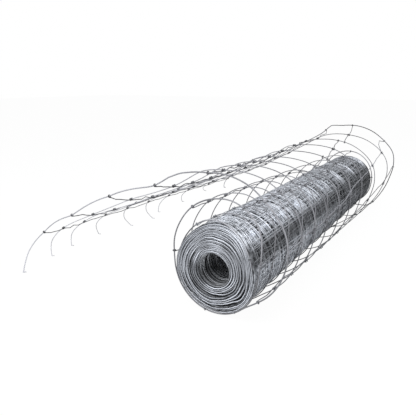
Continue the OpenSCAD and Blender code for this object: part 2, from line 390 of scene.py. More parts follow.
def node_group(name, inputs, outputs):
    """An empty shader group with named sockets, its nodes and its links."""
    group = bpy.data.node_groups.new(name, "ShaderNodeTree")
    for label, kind, value in inputs:
        socket = group.interface.new_socket(label, in_out="INPUT", socket_type=kind)
        if value is not None:
            socket.default_value = value
    for label, kind in outputs:
        group.interface.new_socket(label, in_out="OUTPUT", socket_type=kind)
    start = group.nodes.new("NodeGroupInput")
    end = group.nodes.new("NodeGroupOutput")
    return group, start, end


def plug(tree, value, socket):
    """Links an output to a socket, or sets the socket to a constant."""
    if isinstance(value, bpy.types.NodeSocket):
        tree.links.new(value, socket)
    else:
        socket.default_value = value


def add_noise(tree, vector, scale, detail=3):
    noise = tree.nodes.new("ShaderNodeTexNoise")
    noise.inputs["Detail"].default_value = detail
    plug(tree, scale, noise.inputs["Scale"])
    tree.links.new(vector, noise.inputs["Vector"])
    return noise.outputs["Fac"]


def add_math(tree, operation, a, b=0.0, clamp=False):
    node = tree.nodes.new("ShaderNodeMath")
    node.operation = operation
    node.use_clamp = clamp
    plug(tree, a, node.inputs[0])
    plug(tree, b, node.inputs[1])
    return node.outputs[0]


def add_range(tree, value, low, high, to_low=0.0, to_high=1.0):
    node = tree.nodes.new("ShaderNodeMapRange")
    for label, number in (("From Min", low), ("From Max", high), ("To Min", to_low), ("To Max", to_high)):
        node.inputs[label].default_value = number
    tree.links.new(value, node.inputs["Value"])
    return node.outputs["Result"]


def add_tone_ramp(tree, value, stops):
    """A curve from a value through (place, tone) stops."""
    ramp = tree.nodes.new("ShaderNodeValToRGB")
    while len(ramp.color_ramp.elements) < len(stops):
        ramp.color_ramp.elements.new(0.5)
    for element, (place, tone) in zip(ramp.color_ramp.elements, stops):
        element.position = place
        element.color = (tone, tone, tone, 1)
    tree.links.new(value, ramp.inputs["Fac"])
    return ramp.outputs["Color"]


def zinc_group():
    """Galvanised zinc between a light and a dark grey: each wire's own tone, with soft blotches."""
    group, start, end = node_group(
        "Weathered zinc",
        [("Vector", "NodeSocketVector", None), ("Tone", "NodeSocketFloat", 0.5),
         ("Light", "NodeSocketColor", (0.3, 0.3, 0.3, 1)), ("Dark", "NodeSocketColor", (0.1, 0.1, 0.1, 1)),
         ("Blotch scale", "NodeSocketFloat", 30.0), ("Blotches", "NodeSocketFloat", 1.0)],
        [("Color", "NodeSocketColor"), ("Roughness", "NodeSocketFloat"), ("Height", "NodeSocketFloat")],
    )
    noise = add_noise(group, start.outputs["Vector"], start.outputs["Blotch scale"], 4)
    grain = add_noise(group, start.outputs["Vector"], 420.0, 2)
    lift = add_math(group, "MULTIPLY", add_range(group, noise, 0.3, 0.7, -0.5, 0.5),
                    start.outputs["Blotches"])
    blend = add_math(group, "ADD", start.outputs["Tone"], lift, clamp=True)
    colour = group.nodes.new("ShaderNodeMix")
    colour.data_type = "RGBA"
    group.links.new(blend, colour.inputs["Factor"])
    group.links.new(start.outputs["Dark"], colour.inputs["A"])
    group.links.new(start.outputs["Light"], colour.inputs["B"])
    group.links.new(colour.outputs["Result"], end.inputs["Color"])
    group.links.new(add_range(group, grain, 0, 1, 0.50, 0.75), end.inputs["Roughness"])
    group.links.new(grain, end.inputs["Height"])
    return group


# Painted light and shade on each side of the wound wire, as (angle, tone) stops: the lit upper flank lighter,
# the shaded right flank darker
NEAR_SIDE_LIGHT = [
    (-180, 0.40), (-60, 0.36), (-35, 0.46), (-25, 0.66), (-15, 0.70), (-5, 0.84), (2, 0.88), (10, 0.60),
    (17, 0.30), (20, 0.25), (32, 0.26), (36, 0.50), (45, 0.80), (52, 1.0), (62, 0.80), (80, 0.68),
    (100, 0.76), (115, 0.52), (180, 0.45),
]
FAR_SIDE_LIGHT = [
    (-180, 0.30), (-60, 0.09), (-35, 0.11), (-20, 0.32), (-5, 0.25), (10, 0.12), (20, 0.23), (34, 0.23),
    (45, 0.50), (57, 0.80), (75, 0.66), (84, 0.56), (90, 0.42), (110, 0.44), (180, 0.38),
]
SIDES_FROM, SIDES_TO = -0.2, 0.47  # along the roll, between which the one passes into the other


def side_light_group():
    """Painted light and shade on the roll at a place: round its axis, from the near to the far end."""
    group, start, end = node_group(
        "Painted side light", [("Vector", "NodeSocketVector", None)], [("Tone", "NodeSocketColor")])
    split = group.nodes.new("ShaderNodeSeparateXYZ")
    group.links.new(start.outputs["Vector"], split.inputs[0])
    angle = add_math(group, "ARCTAN2", split.outputs["Z"], split.outputs["X"])
    side = add_range(group, angle, -math.pi, math.pi)
    tones = [add_tone_ramp(group, side, [((a + 180) / 360, tone) for a, tone in stops])
             for stops in (NEAR_SIDE_LIGHT, FAR_SIDE_LIGHT)]
    blend = group.nodes.new("ShaderNodeMix")
    blend.data_type = "RGBA"
    group.links.new(add_range(group, split.outputs["Y"], SIDES_FROM, SIDES_TO), blend.inputs["Factor"])
    group.links.new(tones[0], blend.inputs["A"])
    group.links.new(tones[1], blend.inputs["B"])
    group.links.new(blend.outputs["Result"], end.inputs["Tone"])
    return group


ZINC = zinc_group()
SIDES = side_light_group()


def zinc_material(name, light, dark, metallic, blotch_scale, blotches, sided=False):
    """Zinc between two colours by the Tone attribute, times painted light and shade round the roll if it is
    sided.
    """
    material = bpy.data.materials.new(name)
    material.use_nodes = True
    tree = material.node_tree
    shader = tree.nodes["Principled BSDF"]
    shader.inputs["Metallic"].default_value = metallic
    coords = tree.nodes.new("ShaderNodeTexCoord")
    tone = tree.nodes.new("ShaderNodeAttribute")
    tone.attribute_name = "Tone"
    zinc = tree.nodes.new("ShaderNodeGroup")
    zinc.node_tree = ZINC
    zinc.inputs["Light"].default_value = (*light, 1)
    zinc.inputs["Dark"].default_value = (*dark, 1)
    zinc.inputs["Blotch scale"].default_value = blotch_scale
    zinc.inputs["Blotches"].default_value = blotches
    tree.links.new(coords.outputs["Object"], zinc.inputs["Vector"])
    tree.links.new(tone.outputs["Fac"], zinc.inputs["Tone"])
    colour = zinc.outputs["Color"]
    if sided:
        sides = tree.nodes.new("ShaderNodeGroup")
        sides.node_tree = SIDES
        tree.links.new(coords.outputs["Object"], sides.inputs["Vector"])
        scaled = tree.nodes.new("ShaderNodeVectorMath")
        scaled.operation = "MULTIPLY"
        tree.links.new(colour, scaled.inputs[0])
        tree.links.new(sides.outputs["Tone"], scaled.inputs[1])
        colour = scaled.outputs[0]
    tree.links.new(colour, shader.inputs["Base Color"])
    tree.links.new(zinc.outputs["Roughness"], shader.inputs["Roughness"])
    bump = tree.nodes.new("ShaderNodeBump")
    bump.inputs["Distance"].default_value = 0.0002
    bump.inputs["Strength"].default_value = 0.4
    tree.links.new(zinc.outputs["Height"], bump.inputs["Height"])
    tree.links.new(bump.outputs["Normal"], shader.inputs["Normal"])
    return material


LOOSE_DARK = (0.03, 0.031, 0.034)
line_zinc = zinc_material("Line wire zinc", (0.46, 0.465, 0.505), LOOSE_DARK, 0.3, 9.0, 0.25)
stay_zinc = zinc_material("Stay wire zinc", (0.50, 0.51, 0.56), LOOSE_DARK, 0.3, 20.0, 0.25)
wound_zinc = zinc_material("Wound wire zinc", (0.87, 0.91, 0.985), (0.027, 0.032, 0.040), 0.25, 90.0, 0.75,
                           sided=True)
end_zinc = zinc_material("End turns zinc", (0.60, 0.63, 0.69), (0.02, 0.022, 0.025), 0.25, 25.0, 0.25)
deep_zinc = zinc_material("Deep turns zinc", (0.75, 0.78, 0.83), (0.02, 0.021, 0.024), 0.25, 40.0, 0.2)

# ---------------------------------------------------------------- line wires and stays

wires = [Wire(k) for k in range(LINES)]

# How light the loose wire is at a place past the first stay, as (place, near edge, far edge) rows
LINE_TONES = [
    (-0.2, 0.8, 0.6), (0.3, 0.75, 0.55), (0.55, 0.55, 0.1), (0.8, 0.28, 0.02), (1.0, 0.28, 0.05),
    (1.25, 0.3, 0.1), (1.45, 0.3, 0.1), (1.7, 0.45, 0.2), (1.9, 0.22, 0.12), (3, 0.25, 0.12),
]
STAY_TONES = [
    (0, 0.05, 0.05), (0.5, 0.1, 0.05), (0.7, 0.25, 0.02), (1.1, 0.25, 0.02), (1.4, 0.15, 0.1), (2, 0.4, 0.15),
]
# Painted light on the stretch of the loops over the lit flank, out on a loop and close to the roll: how much,
# its middle angle, and how far round it reaches
FLANK_LIGHT, FLANK_ANGLE, FLANK_SPREAD = (0.32, 0.52), (43, 76), (18, 38)
FLANK_CLOSE = 0.015  # the gap under which a wire is close


def tone_at(rows, s, u):
    """The tone in a table at a place along the sheet and a share across it."""
    i = max(j for j in range(len(rows) - 1) if j == 0 or rows[j][0] <= s)
    (s0, near0, far0), (s1, near1, far1) = rows[i], rows[i + 1]
    t = min(1, max(0, (s - s0) / (s1 - s0)))
    return mix(mix(near0, near1, t), mix(far0, far1, t), u)


def flank_painted_light(point):
    """How much painted light a place on the loops gets where it lies over the lit flank of the roll."""
    angle = math.degrees(math.atan2(point.z, point.x))
    close = ease(2 - (math.hypot(point.x, point.z) - ROLL_R) / FLANK_CLOSE)
    off = abs(angle - mix(*FLANK_ANGLE, close)) / mix(*FLANK_SPREAD, close)
    return mix(*FLANK_LIGHT, close) * ease(1.6 - off)


def make_line_wires():
    """The ten line wires, each in the place of its CAD node."""
    for k, wire in enumerate(wires):
        # each tone is mixed toward light by painted light where the wire lies over the lit flank
        tones = [[mix(tone_at(LINE_TONES, s, across(k)), 1, flank_painted_light(point))
                  for point, s in zip(wire.points, wire.places)]]
        piece = wire_piece(f"LineWire_{k + 1:02d}", [wire.points], tones, line_d(k), fine=2)
        finish_piece(piece, "line_wire", line_zinc, f"line_wire_{k + 1:02d}")


WRAP_TURNS = 1.25
WRAP_STEP = 30  # degrees between its points
WRAP_PITCH = STAY_D * 1.04  # from one turn to the next


def wrap_points(centre, along, radius, offset, way):
    """A coil round a line wire. It leaves the straight part outside the wire and runs along it."""
    side = (Vector((0, 1, 0)) - along * along.y).normalized()
    out = side.cross(along)
    points = []
    for i in range(int(360 * WRAP_TURNS / WRAP_STEP) + 1):
        turn = math.radians(i * WRAP_STEP)
        shift = offset + WRAP_PITCH * i * WRAP_STEP / 360
        points.append(centre + along * shift * way
                      + out * radius * math.cos(turn) + side * radius * math.sin(turn) * -way)
    return points


def stay_route(k, j, rng):
    """The short stay wire j between line wires k and k+1, with its wrap on each."""
    s = knot_place(k, j) + KNOTS_APART.get((k, j), 0) / 2
    t = knot_place(k + 1, j) - KNOTS_APART.get((k + 1, j), 0) / 2
    a, a_along = wires[k].at(s), wires[k].along(s)
    b, b_along = wires[k + 1].at(t), wires[k + 1].along(t)
    offset = (STAY_D + SEAT_GAP) / 2
    first = wrap_points(a, a_along, wrap_r(k), offset, 1)[::-1]
    last = wrap_points(b, b_along, wrap_r(k + 1), offset, -1)
    if (k, j) in STAY_KINKS:
        bends = [(share, Vector(kink) / 1000) for share, kink in STAY_KINKS[k, j]]
    else:
        up = a_along.cross(Vector((0, 1, 0)))
        bow = a_along * rng.uniform(-0.003, 0.003) + up * rng.uniform(-0.002, 0.003)
        loose = 0.0032 if j < TAIL_STAYS else 0.0015 if j < STAYS else 0.0005
        bends = [(share, bow * math.sin(math.pi * share)
                  + a_along * rng.uniform(-loose, loose) + up * rng.uniform(-loose, loose))
                 for share in (0.3, 0.5, 0.7)]
        bends = [(0.08, Vector())] + bends + [(0.92, Vector())]
    return first + [first[-1].lerp(last[0], share) + bend for share, bend in bends] + last


def make_stays():
    """The stays of the loose sheet, each in the place of its CAD node."""
    rng = random.Random(7)
    for j in range(STAYS):
        routes = [stay_route(k, j, rng) for k in range(LINES - 1)]
        own = [tone_at(STAY_TONES, j * STAY_PITCH, across(k)) for k in range(LINES - 1)]
        # each tone is mixed toward light by painted light where the stay lies over the lit flank
        tones = [[mix(tone, 1, flank_painted_light(point)) for point in route] for tone, route in zip(own, routes)]
        piece = wire_piece(f"Stay_{j + 1:02d}", routes, tones, STAY_D)
        finish_piece(piece, "stay_wire", stay_zinc, f"stay_{j + 1:02d}")


make_line_wires()
make_stays()

# ---------------------------------------------------------------- wound part

ROLL_HALF = FENCE_H / 2 + 0.001
FAR_STRAY = 0.009  # how far turns stray past the last line wire
TURN_WIRE_D = 0.0025
THIN_WIRE_D = 0.0016  # of stays that are seen between the turns
TURN_STEPS = 72  # points for each turn
TURN_STRAY = 0.0045  # how far one turn strays along the roll
FAR_TURNS = 5  # turns of each shell that gather at the far end
# Shells of wound wire seen from outside: depth under the surface, how many wires, their size and tone. The
# deeper shells have darker tones: painted shade.
SHELLS = [(0.0010, 76, 0.0020, 0.84), (0.0036, 92, 0.0021, 0.74), (0.0066, 100, 0.0023, 0.62),
          (0.0102, 105, 0.0025, 0.50), (0.0145, 100, 0.0028, 0.36)]
CLUMP = 0.026  # how far the turns of one line wire have strayed from each other
CORE_DEPTH = 0.0185  # from the surface down to the mass of inner turns
CONE_R = 0.062  # the turns outside this radius have slipped in
FREE_Y = -ROLL_HALF + 0.14  # the turns past this place have not been pushed
SWELL, SWELL_AT, SWELL_SPREAD = 0.0034, 225, 75


def off_angle(angle, centre):
    """How many degrees an angle is from another, the shorter way round."""
    return abs((angle - centre + 180) % 360 - 180)


def swell(angle):
    """How far the outer turns bulge on the side that they have slumped to."""
    return SWELL * ease(1.9 - off_angle(angle, SWELL_AT) / SWELL_SPREAD)


def near_limit(r, angle):
    """Where the turns at a radius start. The outer ones have slipped in, which leaves a cone."""
    return -ROLL_HALF + set_back(angle) * ease((r - CONE_R) / (ROLL_R - CONE_R))


def squeeze(r, angle, y):
    """Where a turn lies once the outer ones have slipped in and pushed each other up."""
    if y > FREE_Y:
        return y
    return mix(FREE_Y, near_limit(r, angle), (FREE_Y - y) / (FREE_Y + ROLL_HALF))


def wandering_turn(rng, r, y):
    """One turn of wire that strays along the roll and is a little out of round."""
    p1, p2, p3 = (rng.uniform(0, 2 * math.pi) for _ in range(3))
    s1, s2 = TURN_STRAY * rng.uniform(0.2, 1), TURN_STRAY * rng.uniform(0, 0.5)
    points = []
    for i in range(TURN_STEPS):
        t = 2 * math.pi * i / TURN_STEPS
        rr = r + 0.0005 * math.sin(2 * t + p3) + swell(math.degrees(t)) + rng.uniform(-0.0004, 0.0004)
        yy = y + s1 * math.sin(t + p1) + s2 * math.sin(2 * t + p2) + rng.uniform(-0.0008, 0.0008)
        yy = squeeze(r, math.degrees(t), max(-ROLL_HALF, min(ROLL_HALF + FAR_STRAY, yy)))
        points.append(Vector((rr * math.cos(t), yy, rr * math.sin(t))))
    return points


GOLDEN = 0.618034  # a step of this share spreads things evenly


def clump_place(rng, i):
    """Where turn i lies along the roll: two of three lie near a line wire, and the third anywhere."""
    if i % 3 == 2:
        return mix(-ROLL_HALF, ROLL_HALF, (i / 3 * GOLDEN + rng.uniform(0, 0.02)) % 1)
    k = i % LINES
    stray = rng.gauss(0, CLUMP)
    if k in (0, LINES - 1):
        stray = abs(stray) * (1 if k == 0 else -1) + (0 if k == 0 else FAR_STRAY)
    return line_y(k) + stray


LIT_FLANK_ANGLE = 57  # the middle of the upper flank, where light is painted
LIT_FLANK_TONE = 0.78  # the tone that painted light brings its turns to
CLUMP_HALF = 0.030  # how far on each side of a line wire the turns lie together
SLIPPED_EDGE = 0.030  # how far in from the near end the turns differ the most
MOTTLE = 0.34  # the most that one place on a turn differs from the next


def hump(x, spread):
    """1 at 0, and falling off smoothly on both sides of it."""
    return math.exp(-(x / spread) ** 2)


def painted_clump_light(angle, y):
    """Painted light on the upper flank: brighter where the turns of a line wire lie together, and duller
    between.
    """
    nearest = min(abs(y - line_y(k)) for k in range(LINES))
    light = 0.65 * hump(nearest, CLUMP_HALF) - 0.35 + 0.16 * ease(1 - abs(y) / 0.3)
    return light * hump(angle - LIT_FLANK_ANGLE, 14) * ease(0.75 + y)


def turn_tones(rng, base, points):
    """The tones along one turn: mottled, with painted light on the upper flank and at the clumps, painted
    shade at the far rim, and each its own where it has slipped in.
    """
    own, line = rng.uniform(-0.60, -0.05), rng.uniform(-0.28, 0.28)
    tones = []
    for point in points:
        angle = math.degrees(math.atan2(point.z, point.x))
        slipped = ease(1.2 - (point.y - near_limit(ROLL_R, angle)) / SLIPPED_EDGE)
        even = ease((point.y + 0.3) / 0.4)  # toward the far end each turn keeps one tone
        # painted shade along the far rim
        far_rim = ease((point.y - ROLL_HALF + 0.006) / 0.008)
        # painted light on the upper flank
        lit = 0.55 * hump(angle - LIT_FLANK_ANGLE, 26) * ease((0.12 - point.y) / 0.3)
        mottle = rng.uniform(-MOTTLE, MOTTLE) * (1 - 0.5 * slipped - 0.45 * even)
        tones.append(mix(base, LIT_FLANK_TONE, lit) + mottle + line * even + painted_clump_light(angle, point.y)
                     + own * slipped - 0.6 * far_rim)
    return tones


def make_wound_turns():
    """The shells of turns seen from outside. The outermost one takes the place of the CAD roll."""
    rng = random.Random(3)
    for n, (depth, count, wire_d, tone) in enumerate(SHELLS):
        routes, tones = [], []
        for i in range(count + FAR_TURNS):
            y = clump_place(rng, i) if i < count else ROLL_HALF + FAR_STRAY * rng.uniform(-0.5, 0.9)
            r = ROLL_R - depth + rng.uniform(-0.0012, 0.0010) * (n > 0)
            routes.append(wandering_turn(rng, r, y))
            tones.append(turn_tones(rng, tone + rng.uniform(-0.10, 0.10), routes[-1]))
        piece = wire_piece(f"WoundTurns_{n + 1}", routes, tones, wire_d, fine=0, closed=True)
        finish_piece(piece, "wound_wire", wound_zinc, *(["wound_roll"] if n == 0 else []))


DEEP_ROWS = 16
DEEP_TURNS = (0.0035, 0.006, 0.009)  # how deep their turns can lie


def deep_stay(turn, k, angles, ys):
    """A stay at the radius of a wound turn, from line wire k to the next, with its wraps."""
    ends = []
    for i in (k, k + 1):
        t = math.radians(angles[i])
        along = Vector((math.sin(t), 0, -math.cos(t)))
        ends.append((around(turn, angles[i], ys[i]), along))
    offset = (STAY_D + SEAT_GAP) / 2
    radius = LINE_D / 2 + STAY_D / 2
    first = wrap_points(*ends[0], radius, offset, 1)[::-1]
    last = wrap_points(*ends[1], radius, offset, -1)
    middle = [first[-1].lerp(last[0], t) for t in (0.1, 0.9)]
    return first + middle + last


def make_wound_stays():
    """Rows of stays on the wound turns that show: the outermost turn's own, and deeper ones."""
    rng = random.Random(19)
    routes = [stay_route(k, j, rng) for j in range(STAYS, STAYS + WOUND_ROWS) for k in range(LINES - 1)]
    tones = [[rng.uniform(0.6, 0.9)] * len(route) for route in routes]
    for row in range(DEEP_ROWS):
        angle = row * 360 / DEEP_ROWS + rng.uniform(-9, 9)
        drift = rng.uniform(-0.02, 0.02)
        ys = [max(-ROLL_HALF + 0.04, min(ROLL_HALF - 0.005, line_y(k) + drift)) for k in range(LINES)]
        angles = [angle + rng.uniform(-5, 5) for _ in range(LINES)]
        turn = ROLL_R - rng.choice(DEEP_TURNS)
        for k in range(LINES - 1):
            routes.append(deep_stay(turn, k, angles, ys))
            tones.append([rng.uniform(0.5, 0.9)] * len(routes[-1]))
    piece = wire_piece("WoundStays", routes, tones, STAY_D, fine=0)
    finish_piece(piece, "wound_wire", wound_zinc)


CROSS_ROWS = 150
CROSS_DEPTHS = (-0.0006, 0.0, 0.0022, 0.0030, 0.0055, 0.0085)
# One light wire lies on the turns along the lower side of the bright flank
LIGHT_WIRE_ANGLE = 34.3
LIGHT_WIRE_PLACES = (-0.56, -0.4, -0.25, -0.1, 0.03)


def make_cross_wires():
    """The straight parts of many more stays, between the turns, which cross the turns all round."""
    rng = random.Random(29)
    routes, tones = [], []
    for row in range(CROSS_ROWS):
        angle = row * 360 / CROSS_ROWS + rng.uniform(-1.2, 1.2)
        depth = rng.choice(CROSS_DEPTHS)
        r = ROLL_R - depth
        y = near_limit(r, angle) + rng.uniform(0.002, 0.03)
        while y < ROLL_HALF - 0.02:
            end = min(ROLL_HALF - 0.004, y + rng.uniform(0.08, 0.19))
            a, b = angle + rng.uniform(-2.5, 2.5), angle + rng.uniform(-2.5, 2.5)
            # the deeper a stay lies, the darker it is: painted shade
            tone = rng.uniform(0.65, 1.1) * (1 - 45 * depth)
            route = [around(r, mix(a, b, t) + 0.8 * math.sin(math.pi * t), mix(y, end, t))
                     for t in (0, 0.33, 0.67, 1)]
            routes.append(route)
            tones.append([tone + painted_clump_light(angle, point.y) for point in route])
            y = end + 0.002
    routes.append([around(ROLL_R + 0.0012, LIGHT_WIRE_ANGLE + 0.5 * math.sin(11 * y), y)
                   for y in LIGHT_WIRE_PLACES])
    tones.append([1.2] * len(LIGHT_WIRE_PLACES))
    piece = wire_piece("CrossWires", routes, tones, THIN_WIRE_D, fine=0)
    finish_piece(piece, "wound_wire", wound_zinc)


END_TURNS = 20
END_STEPS = 72  # points for each of them
END_ROWS = (0.0, 0.007, 0.014, 0.024)  # how far back each row of turns lies
END_BACK, BACK_DRIFT = 0.0022, 0.0028  # how far a turn lies behind the front of its row, and its wander
OTHER_BACK = 0.0035  # how much further back every other turn lies
OUT_BACK = 0.0005  # how far behind the front the outermost turns lie
OUT_FROM, OUT_OVER = 14, 5  # the turn past which they come forward, and over how many turns
OPEN_SLACK = 0.004  # the slack at which painted shade makes the rows behind a gap quite dark
FAR_RIM = 0.094  # painted shade darkens the far end outside this radius
# Slack between turns at the ends: after which turn, how wide, centred at which angle, how far round
SLACK = [(8, 0.0090, -118, 70), (8, 0.0044, 170, 44), (7, 0.0026, -52, 40), (12, 0.0028, -29, 26),
         (15, 0.0036, -34, 30), (16, 0.0060, -68, 36), (17, 0.0026, -98, 22), (19, 0.0034, -68, 30),
         (13, 0.0018, 143, 30), (10, 0.0020, 110, 24), (5, 0.0020, 108, 26)]
# Patches of painted light on the ends, or painted shade where below 0: how much, at which angle, how far
# round, and from which radius, over so much outward or, where that is below 0, inward
LIGHT_PATCHES = [(-0.45, -150, 42, 0.078, -0.008), (-0.12, -150, 42, 0, 0.001), (-0.2, 10, 28, 0.100, -0.008),
           (0.16, 62, 30, 0.080, 0.012), (0.12, 112, 34, 0.058, 0.010), (0.35, 152, 24, 0.066, -0.008),
           (-0.35, 180, 60, 0.052, -0.004), (-0.3, 0, 360, 0.0455, -0.003)]


class Drift:
    """A number that wanders between marks round one turn or more."""

    def __init__(self, rng, marks, spread):
        self.marks = [rng.uniform(-spread, spread) for _ in range(marks)]

    def at(self, share):
        place = share * len(self.marks)
        i = int(place)
        return mix(self.marks[i % len(self.marks)], self.marks[(i + 1) % len(self.marks)], ease(place % 1))


def end_slack(angle):
    """The slack after each turn at one angle."""
    slack = [0.0] * (END_TURNS + 1)
    for after, width, centre, spread in SLACK:
        slack[after] += width * ease(1.3 - 1.3 * off_angle(angle, centre) / spread)
    return slack


def patch_share(angle, centre, spread):
    """How far an angle on the end is inside a patch: fully up to half its spread, fading to 1.5 times."""
    return ease(1.5 - off_angle(angle, centre) / spread)


def end_painted_light(angle, r):
    """Painted light and shade on the turns of the end: duller low on the left and at the right, lighter high
    up.
    """
    return 1 + sum(light * patch_share(angle, centre, spread) * ease((r - edge) / fade)
                   for light, centre, spread, edge, fade in LIGHT_PATCHES)


def end_depth(angle):
    """How much the turns of the end stand in and out: less on the left and at the right, and at the top."""
    left, right, top = patch_share(angle, -175, 30), patch_share(angle, 28, 32), patch_share(angle, 98, 44)
    return 1 - 0.4 * left - 0.5 * right - 0.6 * top * (1 - right)


def end_radii(angle, spacing):
    """Radii of the turns at one angle: packed out to the loose sheet, unevenly and with some slack."""
    share = angle / 360
    gaps = [1 + drift.at(share) for drift in spacing]
    slack = end_slack(angle)
    outside = ROLL_R - EDGE_D / 2 + swell(angle)
    inside = BORE_R + EDGE_D / 2
    room = (outside - inside - sum(slack)) / sum(gaps)
    radii = [inside]
    for gap, extra in zip(gaps, slack):
        radii.append(radii[-1] + gap * room + extra)
    return radii


def make_end_turns(end):
    """The spiral of turns seen on one end, each in and out by its own, with more rows of it behind. Turns
    further back and the rows behind are darker: painted shade.
    """
    rng = random.Random(11 + end)
    spacing = [Drift(rng, 7, 0.50) for _ in range(END_TURNS)]
    radii = [end_radii(360 * i / END_STEPS, spacing) for i in range(END_STEPS)]
    gaps = [end_slack(360 * i / END_STEPS) for i in range(END_STEPS)]
    routes, tones = [], []
    for row, depth in enumerate(END_ROWS):
        backs = [Drift(rng, 7, BACK_DRIFT) for _ in range(END_TURNS)]
        lights = [Drift(rng, 9, 0.42) for _ in range(END_TURNS)]
        phases = Drift(rng, 7, 1.6), Drift(rng, 6, 2.6)
        route, tone = [], []
        for i in range(END_TURNS * END_STEPS):
            turn, step = divmod(i, END_STEPS)
            share = step / END_STEPS
            angle = 360 * share
            r = mix(radii[step][turn], radii[step][turn + 1], share) + rng.uniform(-0.0003, 0.0003)
            after = (turn + 1) % END_TURNS
            phase = phases[0].at(share) + phases[1].at(share) * turn / END_TURNS + row
            behind = 0.5 - 0.5 * math.cos(math.pi * (turn + share) + phase)
            crisp = end_depth(angle)
            back = depth + END_BACK + mix(backs[turn].at(share), backs[after].at(share), share)
            back += OTHER_BACK * behind * crisp
            light = mix(lights[turn].at(share), lights[after].at(share), share) + rng.uniform(-0.12, 0.12)
            out = ease((turn - OUT_FROM) / OUT_OVER)
            back = mix(back, depth + OUT_BACK, out)
            if end < 0:
                y = near_limit(r, angle) + back
            else:
                y = ROLL_HALF + FAR_STRAY * (r / ROLL_R) ** 2 - back
            route.append(around(r, angle, y))
            cone = set_back(angle) / NEAR_SLIP * ease((r - CONE_R) / 0.01) * (end < 0)
            # the rows behind are darker: painted shade
            fade = (1.0, mix(0.4, 0.85, cone), mix(0.2, 0.6, cone), 0.1)[row]
            # painted shade on the rows behind a gap
            opened = max(gaps[step][turn], gaps[step][turn + 1]) / OPEN_SLACK * (row > 0)
            # painted light and shade in patches on the end
            fade *= (1 - 0.95 * min(1, opened)) * end_painted_light(angle, r)
            # painted shade on the far end's rim
            fade *= 1 - 0.6 * (end > 0) * ease((r - FAR_RIM) / 0.006)
            # turns set further back are darker: painted shade
            tone.append((0.95 + light * crisp - 60 * (back - depth) * (1 - out)
                         - 0.45 * (behind * crisp + 0.5 - 0.5 * crisp) - 0.2 * out) * fade)
        routes.append(route)
        tones.append(tone)
    piece = wire_piece("EndTurnsNear" if end < 0 else "EndTurnsFar", routes, tones, TURN_WIRE_D)
    finish_piece(piece, "wound_wire", end_zinc)


BORE_TURNS = 160
BORE_STEPS = 32
BORE_STAYS = 30


def bore_light(tone, angle, depth):
    """The tone of a bore wire, with painted light and shade: lighter high on the left near the mouth, duller
    low down on both sides.
    """
    high, left, right = (ease(1.6 - abs(angle - centre) / spread)
                         for centre, spread in ((135, 45), (232, 32), (328, 26)))
    return (tone + 0.4 * high * ease(1.5 - depth / 0.05)) * (1 - 0.35 * left) * (1 - 0.5 * right)


def make_bore_wires():
    """The turns and the stays seen inside the bore, with painted light and shade. The turns lie closer
    together near the mouth.
    """
    rng = random.Random(5)
    routes, tones = [], []
    for i in range(BORE_TURNS):
        depth = 0.004 + (2 * ROLL_HALF - 0.008) * ((i + rng.uniform(0, 1)) / BORE_TURNS) ** 1.35
        y = depth - ROLL_HALF
        p = rng.uniform(0, 2 * math.pi)
        r = BORE_R + 0.0015 + rng.uniform(0, 0.002)
        route = []
        for j in range(BORE_STEPS):
            stray = 0.004 * math.sin(2 * math.pi * j / BORE_STEPS + p)
            route.append(around(r, 360 * j / BORE_STEPS, y + stray))
        routes.append(route)
        # painted light and shade by depth: dark near the mouth, lighter further in, dark again deep down
        tone = rng.choice((0, 0.1, 0.4)) + 0.95 * ease((depth - 0.02) / 0.12) * ease((0.5 - depth) / 0.15)
        tones.append([bore_light(tone, 360 * j / BORE_STEPS, depth) for j in range(BORE_STEPS)])
    piece = wire_piece("BoreTurns", routes, tones, TURN_WIRE_D, fine=0, closed=True)
    finish_piece(piece, "wound_wire", deep_zinc)
    routes, tones = [], []
    for row in range(BORE_STAYS):
        angle = 360 / BORE_STAYS * row + rng.uniform(-4, 4)
        y, end = -ROLL_HALF + rng.uniform(0.03, 0.08), rng.uniform(-0.3, 0.1)
        routes.append([around(BORE_R + 0.0009, angle + rng.uniform(-2, 2), mix(y, end, i / 4))
                       for i in range(5)])
        tones.append([bore_light(rng.uniform(0.45, 0.9), angle, 0.2)] * 5)
    piece = wire_piece("BoreStays", routes, tones, THIN_WIRE_D, fine=0)
    finish_piece(piece, "wound_wire", deep_zinc)


TUBE_SIDES = 96


def make_tube(name, inside, outside, near, far, tone):
    """A plain tube round the roll's axis, from its near end to its far end."""
    deselect_all()
    bpy.ops.mesh.primitive_cylinder_add(
        vertices=TUBE_SIDES, radius=outside, depth=far - near,
        location=(0, (near + far) / 2, 0), rotation=(math.radians(90), 0, 0))
    tube = bpy.context.object
    tube.name = name
    bpy.ops.object.transform_apply(location=True, rotation=True, scale=True)
    bpy.ops.object.mode_set(mode="EDIT")
    bpy.ops.mesh.select_mode(type="FACE")
    bpy.ops.mesh.select_all(action="DESELECT")
    bpy.ops.object.mode_set(mode="OBJECT")
    for face in tube.data.polygons:
        face.select = abs(face.normal.y) > 0.9
    bpy.ops.object.mode_set(mode="EDIT")
    bpy.ops.mesh.inset(thickness=outside - inside)
    bpy.ops.mesh.bridge_edge_loops()
    bpy.ops.mesh.select_all(action="SELECT")
    bpy.ops.mesh.normals_make_consistent(inside=False)
    bpy.ops.object.mode_set(mode="OBJECT")
    bpy.ops.object.shade_smooth_by_angle(angle=math.radians(40))
    tones = tube.data.attributes.new("Tone", "FLOAT", "POINT")
    tones.data.foreach_set("value", [tone] * len(tube.data.vertices))
    return tube


